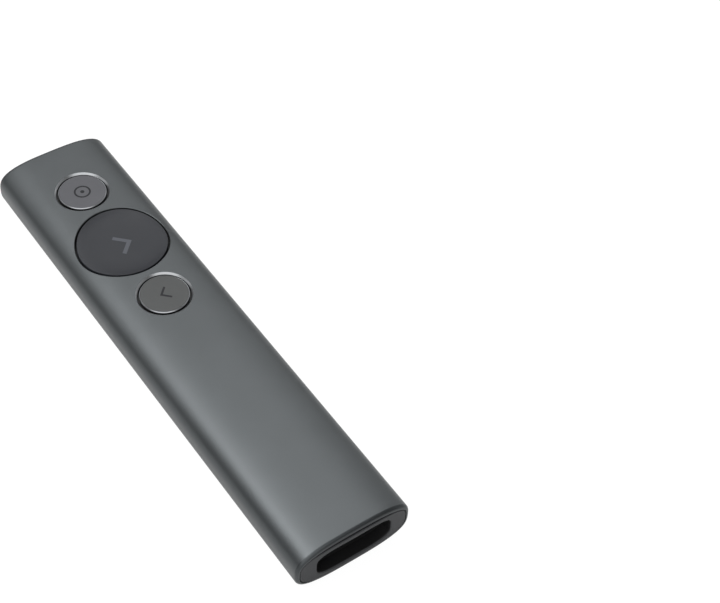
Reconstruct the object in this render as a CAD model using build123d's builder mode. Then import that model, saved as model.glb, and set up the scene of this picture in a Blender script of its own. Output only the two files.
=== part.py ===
from build123d import *
import os
from math import copysign, cos, hypot, pi, sin, sqrt

os.makedirs("parts", exist_ok=True)

# A wireless presentation clicker.  A flattened metal tube is plugged at both
# ends.  Three push buttons stand in holes in its top, and its tail opens into
# a dock that swallows a plug-in receiver, with the charging socket at the
# dock's inner end.  A plastic chassis with the boards, cell and motor slides
# into the tube from its nose.
#
# Millimetres.  +Z is up, +Y points to the nose and X runs across.  The origin
# is the middle of the underside, so z = 0 is the table that it lies on.

# ------------------------------------------------------------ outer form
overall_length = 131.3
body_width = 28.1
body_height = 12.1
mid_height = body_height / 2
section_power = 3.0            # (x/a)^n + (z/b)^n = 1 is the outer section
underside_flat = 0.05          # how much of the crown is milled off underneath
section_points = 48

crown = 0.4                    # how far the end plugs bulge past the tube
tube_length = overall_length - 2 * crown
tube_end = tube_length / 2
rim_round = 0.8

bore_half_width = 13.2         # the tube's inside, squarer than its outside
bore_half_height = 4.8
bore_power = 3.4

# ------------------------------------------------------------ buttons
next_y = 29.1
button_pitch = 19.25
pointer_y = next_y + button_pitch
back_y = next_y - button_pitch

travel = 0.3                   # of every button
stem_slack = 0.05
small_hole_radius = 6.1
small_cap_radius = 5.7
small_cap_top = 12.0
small_hole_chamfer = 0.42
small_cap_chamfer = 0.18
small_flange_radius = 6.7
small_flange_top = 10.6
small_flange_bottom = 9.85

next_hole_radius = 11.0
next_hole_chamfer = 0.12
next_skin_radius = 10.55
next_skin_bottom = 10.0
next_dish_floor = 11.0
next_dish_power = 5.0
next_plate_radius = 10.2
next_plate_bottom = 9.35
next_tab_radius = 11.8
next_tab_half_width = 7.5
next_tab_top = 10.4
next_tab_thickness = 0.7
dish_samples = 16              # on each side of the middle
dish_overrun = 1.1             # the dish is drawn past the skin's edge, then trimmed

inlay_depth = 0.1
ring_icon_radius = 2.02
ring_icon_line = 0.45
ring_icon_dot = 0.5
next_chevron_reach = 2.83      # how far each arm runs along x and along y
next_chevron_line = 0.94
next_chevron_shift = 0.5
back_chevron_reach = 1.75
back_chevron_line = 0.5

# ------------------------------------------------------------ stack inside
plug_gap = 0.15                # between the tube's inside and what slides in it
plug_half_width = bore_half_width - plug_gap
plug_half_height = bore_half_height - plug_gap
plug_depth = 2.5
plug_edge_round = 0.2
crown_radius = (plug_half_width**2 + crown**2) / (2 * crown)

tray_wall = 1.0
tray_floor = 0.8
floor_top = mid_height - plug_half_height + tray_floor

deck_bottom = 8.3
deck_thickness = 0.6
deck_half_width = 12.3
guide_clearance = 0.05
small_boss_radius = 1.6
next_boss_radius = 2.2
boss_collar = 1.0
boss_collar_height = 0.4
deck_corner = 2.0

board_thickness = 0.8
board_top = 6.1
board_bottom = board_top - board_thickness
board_half_width = 10.0
board_tail = -1.0
board_nose = 61.0
board_corner = 1.0

switch_size = 4.6
switch_height = 1.3
switch_floor = 0.25
switch_cover = 0.3
switch_cavity_radius = 1.5
switch_corner = 0.5
stem_radius = 0.8
stem_foot_rim = 0.4
stem_top = 7.8
dome_height = travel + stem_slack
dome_radius = 1.35
dome_sheet = 0.08

chassis_nose = tube_end - plug_depth
chassis_tail = -25.0
bed_half_width = 7.5           # a flat bed along the tray's rounded floor
bed_bottom = 1.9
bed_top = 2.4

arm_x = 11.3                   # the plugs' snap arms and the barbs at their tips
arm_thickness = 0.8
arm_height = 3.0
arm_length = 8.0
barb_length = 1.0
nose_barb = 0.9
tail_barb = 0.6
barb_clearance = 0.1

# ------------------------------------------------------------ receiver dock
slot_half_width = 9.05
slot_half_height = 3.4
slot_power = 4.0
slot_lip_round = 0.4
dock_wall = 0.9
dock_mouth = -tube_end + plug_depth
dock_end = -26.0               # the wall that the charging socket looks through
dock_flange = 1.5
dock_screw_block = 2.4
dock_screw_block_depth = 4.0
dock_screw_x = 11.5
dock_hook_y = -54.0
hook_length = 1.0
hook_reach = 0.85
hook_root = 0.2                # how deep the hooks start inside the dock's wall

spring_y = -43.0
spring_length = 14.0
spring_width = 2.8
spring_sheet = 0.2
spring_foot = 1.5
spring_peak = 8.75             # how far in from each side the leaves stand, as x
spring_window = 3.4
spring_window_slack = 0.9
spring_bend = 1.0
spring_clearance = 0.02

port_width = 8.94
port_height = 3.26
port_length = 7.3
port_sheet = 0.25
tongue_width = 6.7
tongue_thickness = 0.7
tongue_length = 4.6
tongue_setback = 0.7           # from the shell's mouth
port_clearance = 0.2

charge_board_thickness = 0.8
charge_board_top = mid_height - port_height / 2
charge_board_bottom = charge_board_top - charge_board_thickness
charge_board_tail = dock_end + 1.2
charge_board_nose = -13.6
charge_board_half_width = 9.0

# ------------------------------------------------------------ small parts
screw_shank = 0.5
screw_head = 1.15
screw_head_height = 0.6
screw_grip = 2.2
screw_clearance = 0.1
dock_screw_grip = 3.2
post_radius = 1.3
post_bottom = 2.1
post_x = 8.6
main_post_y = (3.6, 56.4)
charge_post_x = 7.2
charge_post_y = (-22.0, -15.8)

cell_width = 14.6
cell_length = 32.0
cell_thickness = 2.4
cell_y = 30.0
cell_corner = 1.0
cell_edge_round = 0.5
foam_thickness = 0.3
foam_width = 12.6
foam_length = 28.0
lead_radius = 0.3
lead_bend = 0.6
connector_y = 52.0

motor_x = 6.5
motor_z = 4.9
motor_radius = 2.0
motor_tail = -13.0
motor_length = 8.0
motor_edge = 0.15
boot_wall = 0.5
boot_length = 5.0
cradle_width = 5.2
cradle_top = 3.9
shaft_radius = 0.4
shaft_start = -8.0
shaft_end = -1.4
shaft_hole_end = -8.2
weight_radius = 1.8
weight_length = 3.0
weight_nose = -1.6
weight_cut = 0.6               # how far above the axis the weight's flat lies

flex_x = -4.0
flex_width = 5.0
flex_thickness = 0.2
flex_stations = (-17.8, -12.6, -3.6, 2.2)
flex_bend = 4.0

# size in x, y and z of the parts that stand on the boards
shield_size = (8.5, 6.4, 1.2)
shield_y = 56.0
processor_size = (6.0, 6.0, 0.8)
sensor_size = (3.0, 3.0, 0.9)
connector_size = (5.0, 4.0, 1.6)
package_edge = 0.15
antenna_y = 60.3
antenna_length = 13.0
antenna_strip = 0.6
antenna_sheet = 0.3
antenna_height = 1.0
antenna_feet = (-5.7, -3.7)


def across(y):
    """The plane across the body at y, from mid-height, facing the tail."""
    return Plane(origin=(0, y, mid_height), x_dir=(1, 0, 0), z_dir=(0, -1, 0))


def level(z, x=0.0, y=0.0):
    """The horizontal plane at height z with its centre at (x, y)."""
    return Plane(origin=(x, y, z))


def superellipse(half_width, half_height, power, below=None, mode=Mode.ADD):
    """Add |x/a|^n + |z/b|^n = 1 to the open sketch, with its own b below."""
    below = half_height if below is None else below
    points = []
    for step in range(section_points):
        across_share = cos(2 * pi * step / section_points)
        up_share = sin(2 * pi * step / section_points)
        reach = half_height if up_share > 0 else below
        points.append(
            (
                copysign(half_width * abs(across_share) ** (2 / power), across_share),
                copysign(reach * abs(up_share) ** (2 / power), up_share),
            )
        )
    with BuildLine() as outline:
        Spline(*points, periodic=True)
    make_face(outline.edges(), mode=mode)


def crown_height(x):
    """The height of the tube's top at x."""
    share = (abs(x) / (body_width / 2)) ** section_power
    return mid_height + mid_height * (1 - share) ** (1 / section_power)


def save(builder, name):
    """Label a finished piece and write it as its own STEP file."""
    builder.part.label = name
    export_step(builder.part, f"parts/{name}.step")


# ============================================================ the tube
with BuildPart() as housing_tube:
    with BuildSketch(across(tube_end)):
        superellipse(body_width / 2, mid_height, section_power, mid_height + underside_flat)
    extrude(amount=tube_length)
    rims = housing_tube.edges().filter_by(lambda e: abs(abs(e.center().Y) - tube_end) < 1e-3)
    fillet(rims, rim_round)
    with BuildSketch(across(tube_end)):
        superellipse(bore_half_width, bore_half_height, bore_power)
    extrude(amount=tube_length, mode=Mode.SUBTRACT)
    with BuildSketch(level(-1)):
        Rectangle(body_width, tube_length + 2)
    extrude(amount=1, mode=Mode.SUBTRACT)
    holes = (
        (pointer_y, small_hole_radius, small_hole_chamfer),
        (next_y, next_hole_radius, next_hole_chamfer),
        (back_y, small_hole_radius, small_hole_chamfer),
    )
    for hole_y, hole_radius, hole_chamfer in holes:
        with BuildSketch(level(mid_height, y=hole_y)):
            Circle(hole_radius)
        extrude(amount=body_height, mode=Mode.SUBTRACT)
        lips = [
            edge
            for edge in housing_tube.edges()
            if all(
                abs(hypot((edge @ t).X, (edge @ t).Y - hole_y) - hole_radius) < 1e-3
                and abs((edge @ t).Z - crown_height((edge @ t).X)) < 0.02
                for t in (0, 0.3, 0.7, 1)
            )
        ]
        chamfer(lips, hole_chamfer)
save(housing_tube, "housing_tube")


# ============================================================ the end plugs
def plug_body(outer_end, inner_end):
    """Fill an end of the tube with a plug whose outer face bulges by `crown`."""
    inward = 1 if outer_end < inner_end else -1
    with BuildSketch(across(max(outer_end, inner_end))) as outline:
        superellipse(plug_half_width, plug_half_height, bore_power)
    extrude(outline.sketch, amount=abs(outer_end - inner_end))
    with Locations((0, outer_end + inward * crown_radius, mid_height)):
        Sphere(crown_radius, mode=Mode.INTERSECT)


def snap_arms(root_y, tip_y, reach):
    """Add a pair of springy arms, barbed outwards, or inwards if the reach is negative."""
    away = 1 if tip_y > root_y else -1
    with BuildSketch(level(mid_height - arm_height / 2)) as arms:
        for side in (-1, 1):
            with Locations((side * arm_x, (root_y + tip_y) / 2)):
                Rectangle(arm_thickness, abs(tip_y - root_y))
            with Locations((side * (arm_x + reach / 2), tip_y - away * barb_length / 2)):
                Rectangle(arm_thickness + abs(reach), barb_length)
    extrude(arms.sketch, amount=arm_height)


nose_arm_tip = chassis_nose - arm_length
tail_arm_tip = dock_hook_y + hook_length / 2 + barb_clearance + barb_length

with BuildPart() as nose_cap:
    plug_body(tube_end + crown, chassis_nose)
    fillet(nose_cap.edges().group_by(Axis.Y)[-1], plug_edge_round)
    snap_arms(chassis_nose, nose_arm_tip, nose_barb)
save(nose_cap, "nose_cap")

with BuildPart() as tail_cap:
    plug_body(-tube_end - crown, dock_mouth)
    fillet(tail_cap.edges().group_by(Axis.Y)[0], plug_edge_round)
    with BuildSketch(across(dock_mouth)):
        superellipse(slot_half_width, slot_half_height, slot_power)
    extrude(amount=plug_depth + crown, mode=Mode.SUBTRACT)
    mouth = tail_cap.edges().filter_by(
        lambda e: e.center().Y < -tube_end and abs((e @ 0).X) < slot_half_width + 0.01
    )
    fillet(mouth, slot_lip_round)
    snap_arms(dock_mouth, tail_arm_tip, -tail_barb)
save(tail_cap, "tail_cap")


# ============================================================ receiver dock
dock_half_width = slot_half_width + dock_wall

with BuildPart() as receiver_dock:
    with BuildSketch(across(chassis_tail)):
        superellipse(dock_half_width, slot_half_height + dock_wall, slot_power)
    extrude(amount=chassis_tail - dock_mouth)
    with BuildSketch(across(chassis_tail)):
        superellipse(plug_half_width, plug_half_height, bore_power)
    extrude(amount=dock_flange)
    with BuildSketch(level(mid_height - arm_height / 2)):
        for side in (-1, 1):
            with Locations((side * (dock_half_width + (hook_reach - hook_root) / 2), dock_hook_y)):
                Rectangle(hook_reach + hook_root, hook_length)
    extrude(amount=arm_height)
    with BuildSketch(across(dock_end)):
        superellipse(slot_half_width, slot_half_height, slot_power)
    extrude(amount=dock_end - dock_mouth, mode=Mode.SUBTRACT)
    with BuildSketch(level(mid_height - spring_window / 2)):
        with Locations((0, spring_y)):
            Rectangle(2 * plug_half_width, spring_length - 2 * spring_foot + spring_window_slack)
    extrude(amount=spring_window, mode=Mode.SUBTRACT)
    with BuildSketch(across(chassis_tail)):
        SlotOverall(port_width + port_clearance, port_height + port_clearance)
        with Locations((-dock_screw_x, 0), (dock_screw_x, 0)):
            Circle(screw_shank + screw_clearance)
    extrude(amount=dock_flange, mode=Mode.SUBTRACT)
save(receiver_dock, "receiver_dock")

with BuildPart() as dock_springs:
    foot_x = dock_half_width + spring_sheet / 2 + spring_clearance
    half_leaf = spring_length / 2
    with BuildSketch(level(mid_height - spring_width / 2)):
        for side in (-1, 1):
            with BuildLine():
                FilletPolyline(
                    (side * foot_x, spring_y - half_leaf),
                    (side * foot_x, spring_y - half_leaf + spring_foot),
                    (side * spring_peak, spring_y),
                    (side * foot_x, spring_y + half_leaf - spring_foot),
                    (side * foot_x, spring_y + half_leaf),
                    radius=spring_bend,
                )
            trace(line_width=spring_sheet)
    extrude(amount=spring_width)
save(dock_springs, "dock_springs")

with BuildPart() as charge_port_shell:
    with BuildSketch(across(dock_end + port_length)):
        SlotOverall(port_width, port_height)
        SlotOverall(port_width - 2 * port_sheet, port_height - 2 * port_sheet, mode=Mode.SUBTRACT)
    extrude(amount=port_length)
save(charge_port_shell, "charge_port_shell")

with BuildPart() as charge_port_tongue:
    with BuildSketch(across(dock_end + port_length)):
        SlotOverall(port_width - 2 * port_sheet, port_height - 2 * port_sheet)
    extrude(amount=port_length - tongue_length - tongue_setback)
    with BuildSketch(across(dock_end + port_length)):
        Rectangle(tongue_width, tongue_thickness)
    extrude(amount=port_length - tongue_setback)
save(charge_port_tongue, "charge_port_tongue")


# ============================================================ boards
def screws_down(places, under_head):
    """Add small pan-head screws that point down, with their heads on z = under_head."""
    with Locations(*[(x, y, under_head) for x, y in places]):
        Cylinder(screw_head, screw_head_height, align=(Align.CENTER, Align.CENTER, Align.MIN))
        Cylinder(screw_shank, screw_grip, align=(Align.CENTER, Align.CENTER, Align.MAX))


main_posts = [(side * post_x, y) for side in (-1, 1) for y in main_post_y]
charge_posts = [(side * charge_post_x, y) for side in (-1, 1) for y in charge_post_y]
charge_screw_places = [place for place in charge_posts if place[1] == charge_post_y[0]]

with BuildPart() as charge_board:
    board_middle = (charge_board_tail + charge_board_nose) / 2
    with BuildSketch(level(charge_board_bottom, y=board_middle)):
        RectangleRounded(
            2 * charge_board_half_width, charge_board_nose - charge_board_tail, board_corner
        )
        with Locations(*[(x, y - board_middle) for x, y in charge_screw_places]):
            Circle(screw_shank + screw_clearance, mode=Mode.SUBTRACT)
    extrude(amount=charge_board_thickness)
save(charge_board, "charge_board")

with BuildPart() as charge_board_screws:
    screws_down(charge_screw_places, charge_board_top)
save(charge_board_screws, "charge_board_screws")

with BuildPart() as main_board:
    board_middle = (board_tail + board_nose) / 2
    with BuildSketch(level(board_bottom, y=board_middle)):
        RectangleRounded(2 * board_half_width, board_nose - board_tail, board_corner)
        with Locations(*[(x, y - board_middle) for x, y in main_posts]):
            Circle(screw_shank + screw_clearance, mode=Mode.SUBTRACT)
    extrude(amount=board_thickness)
save(main_board, "main_board")

with BuildPart() as main_board_screws:
    screws_down(main_posts, board_top)
save(main_board_screws, "main_board_screws")

with BuildPart() as dock_screws:
    for side in (-1, 1):
        with BuildSketch(across(chassis_tail - dock_flange)):
            with Locations((side * dock_screw_x, 0)):
                Circle(screw_head)
        extrude(amount=screw_head_height)
        with BuildSketch(across(chassis_tail - dock_flange + dock_screw_grip)):
            with Locations((side * dock_screw_x, 0)):
                Circle(screw_shank)
        extrude(amount=dock_screw_grip)
save(dock_screws, "dock_screws")

with BuildPart() as board_flex:
    low_z = charge_board_top + flex_thickness / 2
    high_z = board_top + flex_thickness / 2
    with BuildLine() as flex_path:
        FilletPolyline(
            *[(flex_x, y, z) for y, z in zip(flex_stations, (low_z, low_z, high_z, high_z))],
            radius=flex_bend,
        )
    with BuildSketch(Plane(flex_path.line @ 0, x_dir=(1, 0, 0), z_dir=flex_path.line % 0)):
        Rectangle(flex_width, flex_thickness)
    sweep()
save(board_flex, "board_flex")


def block(name, size, bottom, y):
    """Write a small flat-packaged component that stands on a board."""
    with BuildPart() as package:
        with BuildSketch(level(bottom, y=y)):
            Rectangle(*size[:2])
        extrude(amount=size[2])
        chamfer(package.edges().group_by(Axis.Z)[-1], package_edge)
    save(package, name)


block("radio_shield", shield_size, board_top, shield_y)
block("processor_chip", processor_size, board_top, (next_y + pointer_y) / 2)
block("motion_sensor", sensor_size, board_top, (next_y + back_y) / 2)
block("battery_connector", connector_size, board_bottom - connector_size[2], connector_y)

with BuildPart() as antenna:
    strip_x = antenna_feet[0] + (antenna_length - antenna_strip) / 2
    with BuildSketch(level(board_top + antenna_height, x=strip_x, y=antenna_y)):
        Rectangle(antenna_length, antenna_strip)
    extrude(amount=antenna_sheet)
    with BuildSketch(level(board_top, y=antenna_y)):
        with Locations(*[(x, 0) for x in antenna_feet]):
            Rectangle(antenna_strip, antenna_strip)
    extrude(amount=antenna_height)
save(antenna, "antenna")


# ============================================================ battery
cell_bottom = bed_top + foam_thickness

with BuildPart() as battery_foam:
    with BuildSketch(level(bed_top, y=cell_y)):
        Rectangle(foam_width, foam_length)
    extrude(amount=foam_thickness)
save(battery_foam, "battery_foam")

with BuildPart() as battery_cell:
    with BuildSketch(level(cell_bottom, y=cell_y)):
        RectangleRounded(cell_width, cell_length, cell_corner)
    extrude(amount=cell_thickness)
    fillet(battery_cell.edges().group_by(Axis.Z)[-1], cell_edge_round)
save(battery_cell, "battery_cell")


def lead_pair(name, routes):
    """Write a pair of thin wires, each one swept along its own bent route."""
    with BuildPart() as leads:
        for route in routes:
            with BuildLine() as path:
                FilletPolyline(*route, radius=lead_bend)
            with BuildSketch(Plane(path.line @ 0, z_dir=path.line % 0)):
                Circle(lead_radius)
            sweep()
    save(leads, name)


cell_nose = cell_y + cell_length / 2
lead_z = cell_bottom + cell_thickness / 2
battery_routes = [
    [
        (side * 1.4, cell_nose, lead_z),
        (side * 1.4, cell_nose + 1.2, lead_z),
        (side * 0.9, connector_y - 3.2, board_bottom - 0.8),
        (side * 0.9, connector_y - 2.0, board_bottom - 0.8),
    ]
    for side in (-1, 1)
]
lead_pair("battery_leads", battery_routes)


# ============================================================ vibration motor
motor_nose = motor_tail + motor_length


def on_motor(y):
    """The plane across the motor's axis at y, facing the tail."""
    return Plane(origin=(motor_x, y, motor_z), x_dir=(1, 0, 0), z_dir=(0, -1, 0))


with BuildPart() as motor_can:
    with BuildSketch(on_motor(motor_nose)):
        Circle(motor_radius)
    extrude(amount=motor_length)
    chamfer(motor_can.edges().filter_by(GeomType.CIRCLE), motor_edge)
    with BuildSketch(on_motor(motor_nose)):
        Circle(shaft_radius + guide_clearance)
    extrude(amount=motor_nose - shaft_hole_end, mode=Mode.SUBTRACT)
save(motor_can, "motor_can")

boot_nose = (motor_tail + motor_nose + boot_length) / 2

with BuildPart() as motor_boot:
    with BuildSketch(on_motor(boot_nose)):
        Circle(motor_radius + boot_wall)
        Circle(motor_radius, mode=Mode.SUBTRACT)
    extrude(amount=boot_length)
save(motor_boot, "motor_boot")

with BuildPart() as motor_shaft:
    with BuildSketch(on_motor(shaft_end)):
        Circle(shaft_radius)
    extrude(amount=shaft_end - shaft_start)
save(motor_shaft, "motor_shaft")

with BuildPart() as eccentric_weight:
    with BuildSketch(on_motor(weight_nose)):
        Circle(weight_radius)
        with Locations((0, weight_radius / 2 + weight_cut)):
            Rectangle(2 * weight_radius, weight_radius, mode=Mode.SUBTRACT)
        Circle(shaft_radius, mode=Mode.SUBTRACT)
    extrude(amount=weight_length)
save(eccentric_weight, "eccentric_weight")

motor_routes = [
    [
        (motor_x + offset, motor_tail, motor_z + 0.5),
        (motor_x + offset, motor_tail - 1.2, motor_z + 0.5),
        (motor_x + offset, motor_tail - 2.4, charge_board_top + lead_radius),
        (motor_x + offset, motor_tail - 3.6, charge_board_top + lead_radius),
    ]
    for offset in (-0.6, 0.6)
]
lead_pair("motor_leads", motor_routes)


# ============================================================ chassis
with BuildPart() as chassis:
    with BuildSketch(across(chassis_nose)):
        superellipse(plug_half_width, plug_half_height, bore_power)
        superellipse(
            plug_half_width - tray_wall,
            plug_half_height - tray_floor,
            bore_power,
            mode=Mode.SUBTRACT,
        )
    extrude(amount=chassis_nose - chassis_tail)
    chassis_middle = (chassis_nose + chassis_tail) / 2
    chassis_length = chassis_nose - chassis_tail
    with BuildSketch(level(deck_bottom, y=chassis_middle)):
        Rectangle(body_width, chassis_length + 1)
    extrude(amount=body_height, mode=Mode.SUBTRACT)
    with BuildSketch(level(bed_bottom, y=chassis_middle)):
        Rectangle(2 * bed_half_width, chassis_length)
    extrude(amount=bed_top - bed_bottom)
    for places, top in ((main_posts, board_bottom), (charge_posts, charge_board_bottom)):
        with BuildSketch(level(post_bottom)):
            with Locations(*places):
                Circle(post_radius)
        extrude(amount=top - post_bottom)
    with BuildSketch(on_motor(boot_nose)):
        with Locations((0, (cradle_top + bed_bottom) / 2 - motor_z)):
            Rectangle(cradle_width, cradle_top - bed_bottom)
        Circle(motor_radius + boot_wall, mode=Mode.SUBTRACT)
    extrude(amount=boot_length)
    with BuildSketch(across(chassis_tail + dock_screw_block_depth)):
        with Locations((-dock_screw_x, 0), (dock_screw_x, 0)):
            Rectangle(dock_screw_block, dock_screw_block)
    extrude(amount=dock_screw_block_depth)
    # holes for the screws, and windows for the nose plug's barbs
    for places, top in ((main_posts, board_bottom), (charge_screw_places, charge_board_bottom)):
        with BuildSketch(level(top)):
            with Locations(*places):
                Circle(screw_shank + screw_clearance)
        extrude(amount=-screw_grip, mode=Mode.SUBTRACT)
    with BuildSketch(across(chassis_tail + dock_screw_grip)):
        with Locations((-dock_screw_x, 0), (dock_screw_x, 0)):
            Circle(screw_shank + screw_clearance)
    extrude(amount=dock_screw_grip, mode=Mode.SUBTRACT)
    with BuildSketch(level(mid_height - arm_height / 2 - barb_clearance)):
        with Locations((0, nose_arm_tip + barb_length / 2)):
            Rectangle(body_width, barb_length + 2 * barb_clearance)
    extrude(amount=arm_height + 2 * barb_clearance, mode=Mode.SUBTRACT)
save(chassis, "chassis")

with BuildPart() as button_frame:
    frame_middle = (board_tail + board_nose) / 2
    with BuildSketch(level(deck_bottom, y=frame_middle)):
        RectangleRounded(2 * deck_half_width, board_nose - board_tail, deck_corner)
    extrude(amount=deck_thickness)
    for centre_y, boss_radius in (
        (pointer_y, small_boss_radius),
        (next_y, next_boss_radius),
        (back_y, small_boss_radius),
    ):
        with BuildSketch(level(deck_bottom - boss_collar_height, y=centre_y)):
            Circle(boss_radius + boss_collar)
        extrude(amount=boss_collar_height)
        with BuildSketch(level(deck_bottom - boss_collar_height, y=centre_y)):
            Circle(boss_radius + guide_clearance)
        extrude(amount=deck_thickness + boss_collar_height, mode=Mode.SUBTRACT)
save(button_frame, "button_frame")


# ============================================================ switches
def switch(name, centre_y):
    """Write a switch body, its snap dome and the stem that the button presses."""
    floor_z = board_top + switch_floor
    cover_z = board_top + switch_height - switch_cover
    with BuildPart() as body:
        with BuildSketch(level(board_top, y=centre_y)):
            RectangleRounded(switch_size, switch_size, switch_corner)
        extrude(amount=switch_height)
        with BuildSketch(level(floor_z, y=centre_y)):
            Circle(switch_cavity_radius)
        extrude(amount=cover_z - floor_z, mode=Mode.SUBTRACT)
        with BuildSketch(level(cover_z, y=centre_y)):
            Circle(stem_radius + guide_clearance)
        extrude(amount=switch_cover, mode=Mode.SUBTRACT)
    save(body, f"{name}_switch")

    dome_sphere = (dome_radius**2 + dome_height**2) / (2 * dome_height)
    with BuildPart() as dome:
        with Locations((0, centre_y, floor_z + dome_height - dome_sphere)):
            Sphere(dome_sphere)
            Sphere(dome_sphere - dome_sheet, mode=Mode.SUBTRACT)
        split(bisect_by=level(floor_z), keep=Keep.TOP)
    save(dome, f"{name}_dome")

    foot_bottom = floor_z + dome_height + stem_slack
    foot_top = cover_z - stem_slack
    with BuildPart() as stem:
        with BuildSketch(level(foot_bottom, y=centre_y)):
            Circle(stem_radius + stem_foot_rim)
        extrude(amount=foot_top - foot_bottom)
        with BuildSketch(level(foot_bottom, y=centre_y)):
            Circle(stem_radius)
        extrude(amount=stem_top - foot_bottom)
    save(stem, f"{name}_stem")


switch("pointer", pointer_y)
switch("next", next_y)
switch("back", back_y)


# ============================================================ small buttons
def chevron(reach, line, toward, x=0.0):
    """Add a chevron to the open sketch: two arms at 45 degrees and a sharp apex."""
    half = line / (2 * sqrt(2))
    apex = (reach + 3 * half) / 2 - 2 * half
    corners = [
        (apex + 2 * half, 0),
        (apex - reach + half, reach + half),
        (apex - reach - half, reach - half),
        (apex - 2 * half, 0),
        (apex - reach - half, -reach + half),
        (apex - reach + half, -reach - half),
    ]
    with BuildLine() as outline:
        Polyline(*[(x + toward * across_x, up) for across_x, up in corners], close=True)
    make_face(outline.edges())


def pointer_icon_shape():
    """Add a ring with a dot in it to the open sketch."""
    Circle(ring_icon_radius)
    Circle(ring_icon_radius - ring_icon_line, mode=Mode.SUBTRACT)
    Circle(ring_icon_dot)


def back_icon_shape():
    """Add a chevron that points to -X to the open sketch."""
    chevron(back_chevron_reach, back_chevron_line, -1)


def small_button(name, centre_y, icon_shape, icon_name):
    """Write a small button: metal cap, inlaid symbol, and the plastic carrier below."""
    inlay_bottom = small_cap_top - inlay_depth
    with BuildPart() as icon:
        with BuildSketch(level(inlay_bottom, y=centre_y)):
            icon_shape()
        extrude(amount=inlay_depth)
    with BuildPart() as cap:
        with BuildSketch(level(small_flange_top, y=centre_y)):
            Circle(small_cap_radius)
        extrude(amount=small_cap_top - small_flange_top)
        chamfer(cap.edges().group_by(Axis.Z)[-1], small_cap_chamfer)
        add(icon.part, mode=Mode.SUBTRACT)
    save(cap, f"{name}_cap")
    save(icon, icon_name)
    with BuildPart() as carrier:
        with BuildSketch(level(small_flange_bottom, y=centre_y)):
            Circle(small_flange_radius)
        extrude(amount=small_flange_top - small_flange_bottom)
        with BuildSketch(level(stem_top, y=centre_y)):
            Circle(small_boss_radius)
        extrude(amount=small_flange_bottom - stem_top)
    save(carrier, f"{name}_carrier")


small_button("pointer", pointer_y, pointer_icon_shape, "pointer_icon")
small_button("back", back_y, back_icon_shape, "back_chevron")


# ============================================================ next button
def dish_height(x, y):
    """The dish: flat in the middle, and rising to the tube's crown at the skin's edge."""
    rise = (hypot(x, y) / next_skin_radius) ** next_dish_power
    return next_dish_floor + (crown_height(x) - next_dish_floor) * rise


grid = [
    step * dish_overrun * next_skin_radius / dish_samples
    for step in range(-dish_samples, dish_samples + 1)
]
dish_face = Face.make_surface_from_array_of_points(
    [[Vector(x, next_y + y, dish_height(x, y)) for y in grid] for x in grid], tol=0.002
)

with BuildPart() as next_chevron:
    with BuildSketch(level(next_dish_floor - inlay_depth, y=next_y)):
        chevron(next_chevron_reach, next_chevron_line, 1, x=next_chevron_shift)
    extrude(amount=inlay_depth)
save(next_chevron, "next_chevron")

with BuildPart() as next_skin:
    with BuildSketch(level(next_skin_bottom, y=next_y)):
        Circle(next_skin_radius)
    extrude(amount=body_height - next_skin_bottom + crown)
    split(bisect_by=dish_face, keep=Keep.BOTTOM)
    add(next_chevron.part, mode=Mode.SUBTRACT)
save(next_skin, "next_skin")

with BuildPart() as next_carrier:
    with BuildSketch(level(next_plate_bottom, y=next_y)):
        Circle(next_tab_radius)
        Rectangle(2 * next_tab_half_width, 2 * next_tab_radius, mode=Mode.INTERSECT)
        Circle(next_plate_radius)
    extrude(amount=next_skin_bottom - next_plate_bottom)
    with BuildSketch(level(next_skin_bottom, y=next_y)):
        Circle(next_tab_radius)
        Rectangle(2 * next_tab_half_width, 2 * next_tab_radius, mode=Mode.INTERSECT)
        Circle(next_tab_radius - next_tab_thickness, mode=Mode.SUBTRACT)
    extrude(amount=next_tab_top - next_skin_bottom)
    with BuildSketch(level(stem_top, y=next_y)):
        Circle(next_boss_radius)
    extrude(amount=next_plate_bottom - stem_top)
save(next_carrier, "next_carrier")
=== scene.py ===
# %% [markdown]
# # A wireless presentation clicker
# This lesson dresses a finished mechanical model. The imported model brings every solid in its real
# place, and the cells below give it a clean metal skin, a soft thumb pad, finishes, light and a
# camera. The scene is in metres, with +Z up and +Y towards the nose, while the clicker's own sizes
# are written in millimetres. It lies on z = 0. The frame is loaded first, because the new surfaces
# take the place of its solids and have to stay within its box.

import math

import bpy
import numpy as np
from mathutils import Matrix, Vector


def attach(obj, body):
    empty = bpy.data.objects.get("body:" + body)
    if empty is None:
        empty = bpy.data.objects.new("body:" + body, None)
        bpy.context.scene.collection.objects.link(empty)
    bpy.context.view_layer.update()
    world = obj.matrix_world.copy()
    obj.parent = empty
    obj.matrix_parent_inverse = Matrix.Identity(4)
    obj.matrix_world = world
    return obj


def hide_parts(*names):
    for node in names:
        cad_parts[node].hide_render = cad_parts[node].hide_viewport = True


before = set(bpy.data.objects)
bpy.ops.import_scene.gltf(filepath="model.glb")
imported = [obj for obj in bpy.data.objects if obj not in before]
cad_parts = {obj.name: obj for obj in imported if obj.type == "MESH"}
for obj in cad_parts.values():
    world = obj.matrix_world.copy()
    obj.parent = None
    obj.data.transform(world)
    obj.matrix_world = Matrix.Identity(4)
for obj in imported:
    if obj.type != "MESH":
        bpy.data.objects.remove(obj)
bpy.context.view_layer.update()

# %% [markdown]
# ## Camera
# The clicker lies at a slant and is seen from its tail, from the left and from well above. A long
# lens is used, so its sides hardly converge. A camera can be placed by angles, but here its three
# axes are written as the columns of one matrix: right, up and back. So the small roll is exact.

# %% Camera
MM = 0.001
image_width = 720.0
sensor = 36.0
focal_in_pixels = 1547.1
azimuth, elevation, roll = (math.radians(angle) for angle in (-38.26, 48.6, 4.22))
distance = 357.9 * MM
target = np.array([39.05, -11.82, 6.05]) * MM

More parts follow.
